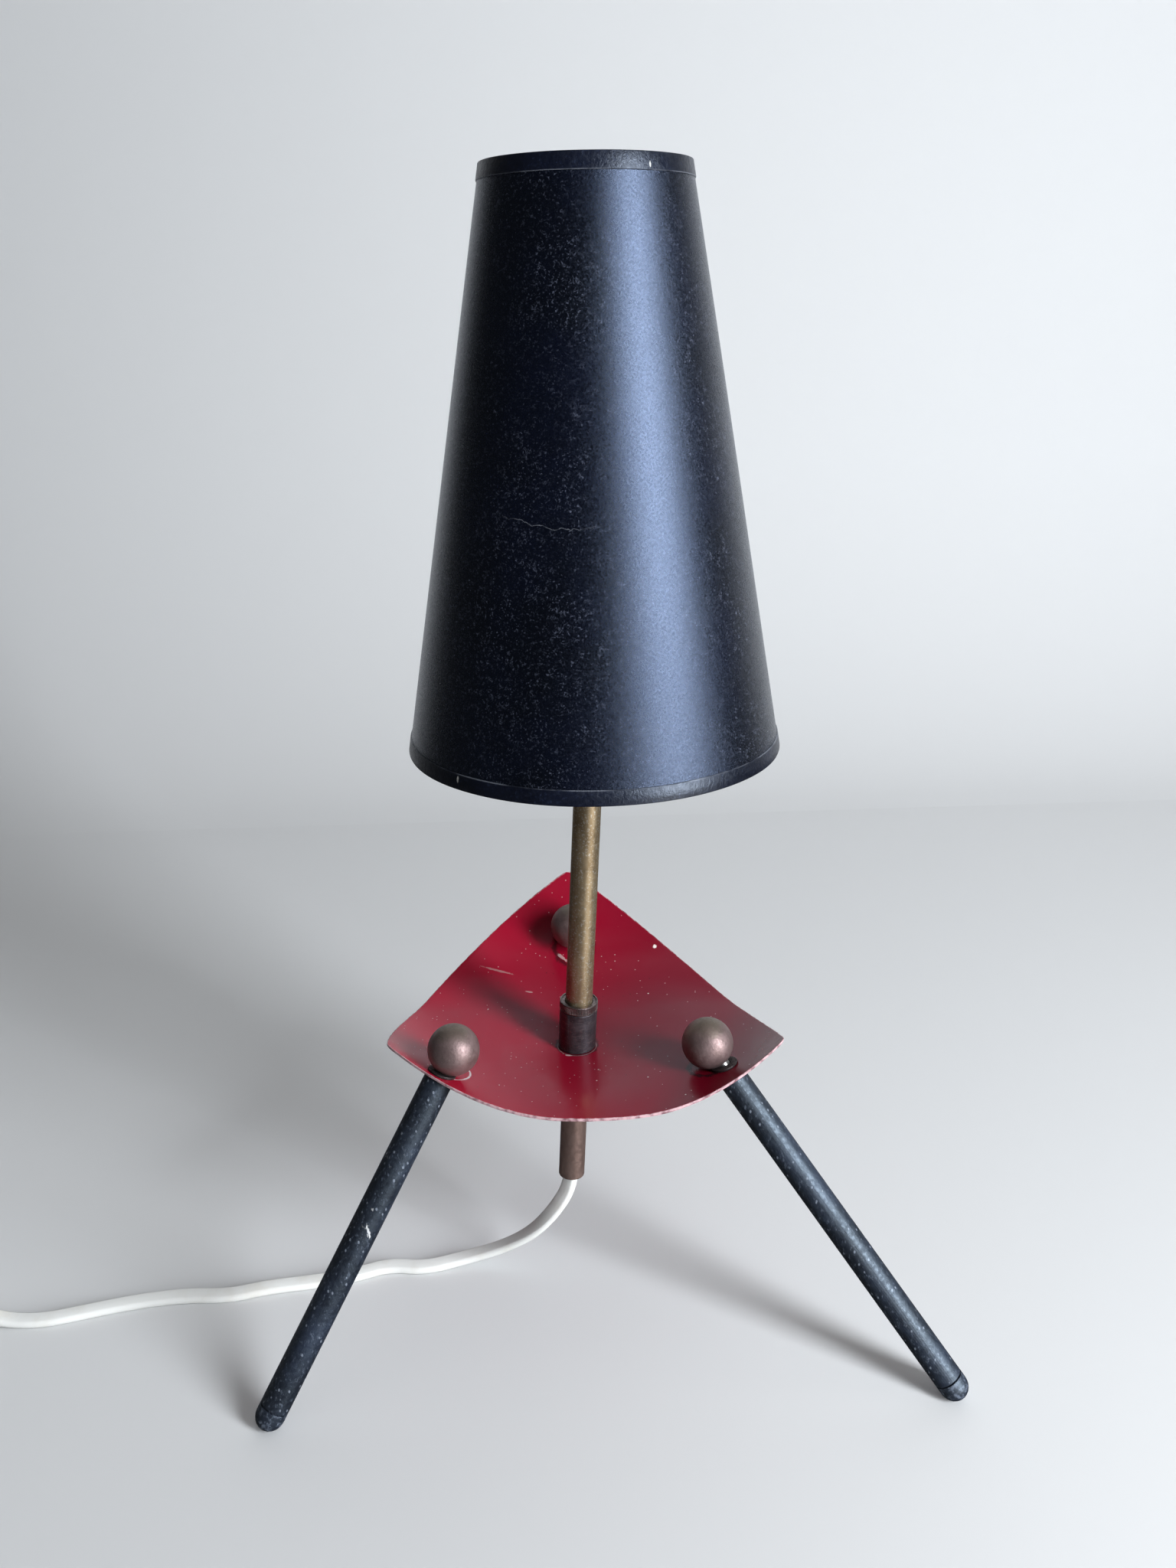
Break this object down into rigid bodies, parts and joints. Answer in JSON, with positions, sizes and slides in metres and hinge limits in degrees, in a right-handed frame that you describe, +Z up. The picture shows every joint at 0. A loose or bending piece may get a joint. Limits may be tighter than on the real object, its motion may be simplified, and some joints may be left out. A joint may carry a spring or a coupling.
{
  "type": "table lamp",
  "caption": "Small tripod table lamp: splayed legs under a curled sheet base, a leaning stem in a collar, and a tall conical paper shade with a free cord.",
  "frame": {"origin": "on the floor, straight below the middle of the base plate", "axes": "+Z up, +X to the right as seen from the front, +Y away from the viewer; the cord leaves to -X"},
  "size_m": [0.5828, 0.2269, 0.41],
  "materials": {
    "crimson_paint": "satin",
    "black_paint": "satin",
    "dark_brass": "satin",
    "aged_brass": "satin",
    "steel": "satin",
    "black_rubber": "matte",
    "white_cord": "satin",
    "white_plastic": "gloss",
    "dark_plastic": "gloss",
    "ceramic": "matte",
    "bulb_white": "frosted",
    "clear_glass": "gloss",
    "frame_wire": "satin",
    "shade_paper": "satin",
    "shade_tape": "satin"
  },
  "bodies": {
    "base": {"base_plate": "crimson_paint", "leg_left": "black_paint", "leg_right": "black_paint", "leg_rear": "black_paint", "leg_top_plugs": "steel", "leg_studs": "steel", "ball_washers": "steel", "ball_nuts": "dark_brass", "foot_caps": "black_rubber", "collar": "dark_brass", "clamp_cone": "aged_brass", "collar_washer": "steel", "collar_nut": "steel", "cord_run": "white_cord", "cord_coil": "white_cord", "switch_lower": "white_plastic", "switch_upper": "white_plastic", "switch_screws": "steel", "plug_body": "white_plastic", "switch_reliefs": "white_plastic", "plug_relief": "white_plastic", "plug_pins": "steel"},
    "clamp_ring": {"clamp_ring": "dark_brass"},
    "stem": {"stem_tube": "aged_brass", "outlet_bush": "dark_plastic", "inner_flex": "white_cord", "holder_cap": "dark_plastic", "holder_core": "ceramic", "terminal_screws": "aged_brass", "screw_shell": "aged_brass", "centre_contact": "aged_brass", "holder_skirt": "dark_plastic"},
    "ring_nut": {"shade_ring_nut": "dark_plastic"},
    "bulb": {"bulb_cap": "steel", "bulb_tip": "dark_plastic", "bulb_glass": "bulb_white", "bulb_mount": "clear_glass", "bulb_filament": "steel"},
    "fitter": {"fitter": "frame_wire", "tilt_pins": "aged_brass"},
    "shade": {"shade_hoop": "frame_wire", "shade_arms": "frame_wire", "shade_bottom_ring": "frame_wire", "shade_top_ring": "frame_wire", "shade_paper": "shade_paper", "top_tape": "shade_tape", "bottom_tape": "shade_tape"},
    "rocker": {"switch_rocker": "white_plastic"}
  },
  "joints": [
    {"name": "stem_slide", "type": "slide", "parent": "base", "child": "stem", "axis": [0.0558, 0, 0.9984], "range_m": [0, 0.04]},
    {"name": "clamp_ring_turn", "type": "hinge", "parent": "base", "child": "clamp_ring", "pos_m": [0, 0, 0.1077], "axis": [0.0558, 0, 0.9984], "range_deg": [0, 270]},
    {"name": "ring_nut_turn", "type": "hinge", "parent": "stem", "child": "ring_nut", "pos_m": [0, 0, 0.1077], "axis": [0.0558, 0, 0.9984], "continuous": true},
    {"name": "bulb_turn", "type": "hinge", "parent": "stem", "child": "bulb", "pos_m": [0, 0, 0.1077], "axis": [0.0558, 0, 0.9984], "continuous": true},
    {"name": "shade_turn", "type": "hinge", "parent": "stem", "child": "fitter", "pos_m": [0, 0, 0.1077], "axis": [0.0558, 0, 0.9984], "continuous": true},
    {"name": "shade_tilt", "type": "hinge", "parent": "fitter", "child": "shade", "pos_m": [0.00823, 0, 0.25497], "axis": [0, 1, 0], "range_deg": [-15, 15]},
    {"name": "switch_rock", "type": "hinge", "parent": "base", "child": "rocker", "pos_m": [-0.279, -0.0136, 0.0118], "axis": [0, 1, 0], "range_deg": [0, 16]}
  ]
}
